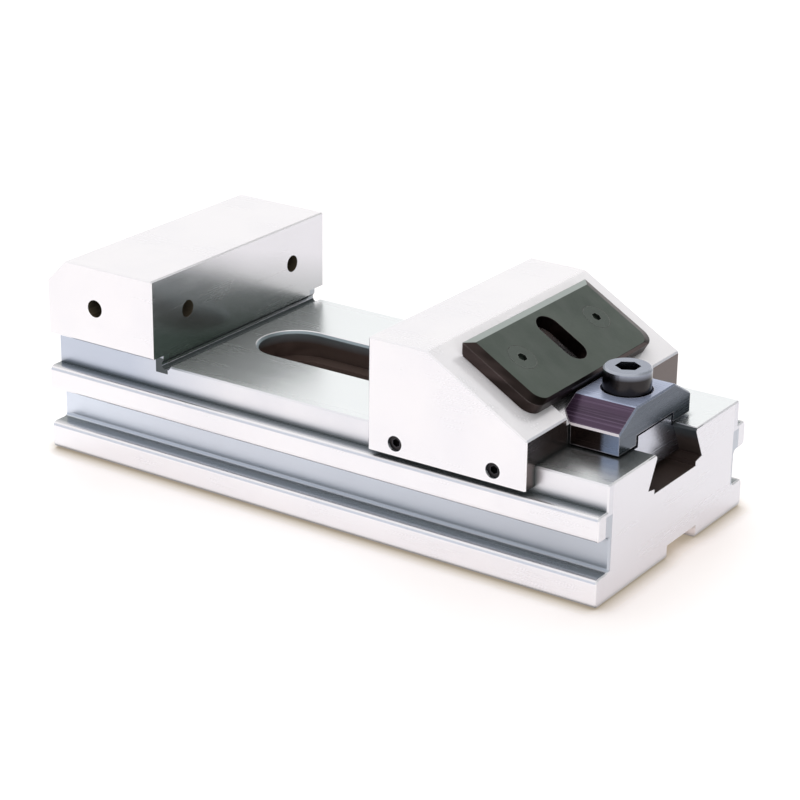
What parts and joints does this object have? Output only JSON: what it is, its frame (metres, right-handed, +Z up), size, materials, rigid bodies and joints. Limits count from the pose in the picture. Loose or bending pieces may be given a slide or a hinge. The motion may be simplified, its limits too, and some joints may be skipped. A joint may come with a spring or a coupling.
{
  "type": "toolmakers vise",
  "caption": "Precision toolmakers vise: ground rail with fixed jaw, dovetail slot, sliding jaw with sloping back, wedge clamp bridge and cap screw.",
  "frame": {"origin": "middle of the underside of the rail", "axes": "+X along the rail from the fixed jaw to the open end, +Y across to the far side, +Z up"},
  "size_m": [0.18, 0.08, 0.0584],
  "materials": {
    "ground_steel": "hardened and finely ground, mirror like",
    "satin_steel": "ground, satin",
    "fastener_steel": "bright turned",
    "black_oxide": "black oxide, satin",
    "spring_steel": "drawn wire",
    "brass": "turned"
  },
  "bodies": {
    "rail": {"vise_body": "ground_steel"},
    "carriage": {"clamp_slider": "ground_steel", "guide_pin_near": "ground_steel", "guide_pin_far": "ground_steel", "draw_screw_near": "black_oxide", "draw_screw_far": "black_oxide", "lift_spring": "spring_steel"},
    "jaw": {"moving_jaw": "ground_steel", "jaw_cover_plate": "satin_steel", "cover_plate_screw_near": "fastener_steel", "cover_plate_screw_far": "fastener_steel", "jaw_keeper": "ground_steel", "keeper_screw_front": "black_oxide", "keeper_screw_rear": "black_oxide", "skirt_set_screw_near_front": "black_oxide", "skirt_set_screw_near_rear": "black_oxide", "skirt_set_screw_far_front": "black_oxide", "skirt_set_screw_far_rear": "black_oxide", "rail_pad_near_front": "brass", "rail_pad_near_rear": "brass", "rail_pad_far_front": "brass", "rail_pad_far_rear": "brass", "return_spring_near": "spring_steel", "return_spring_far": "spring_steel"},
    "bridge": {"clamp_bridge": "ground_steel"},
    "screw": {"clamp_screw": "black_oxide"}
  },
  "joints": [
    {"name": "jaw_travel", "type": "slide", "parent": "rail", "child": "carriage", "axis": [1, 0, 0], "range_m": [-0.0712, 0.006]},
    {"name": "jaw_advance", "type": "slide", "parent": "carriage", "child": "jaw", "axis": [1, 0, 0], "range_m": [-0.00086603, 0], "deforming": ["return_spring_near", "return_spring_far"]},
    {"name": "bridge_drop", "type": "slide", "parent": "carriage", "child": "bridge", "axis": [0, 0, 1], "range_m": [-0.0005, 0], "deforming": ["lift_spring"]},
    {"name": "screw_turn", "type": "hinge", "parent": "bridge", "child": "screw", "pos_m": [0.0745, 0, 0.0418], "axis": [0, 0, 1], "range_deg": [-144, 0]}
  ],
  "couplings": [
    {"joint": "bridge_drop", "follows": "jaw_advance", "ratio": 0.5773},
    {"joint": "screw_turn", "follows": "jaw_advance", "rad_per_m": 2902}
  ]
}
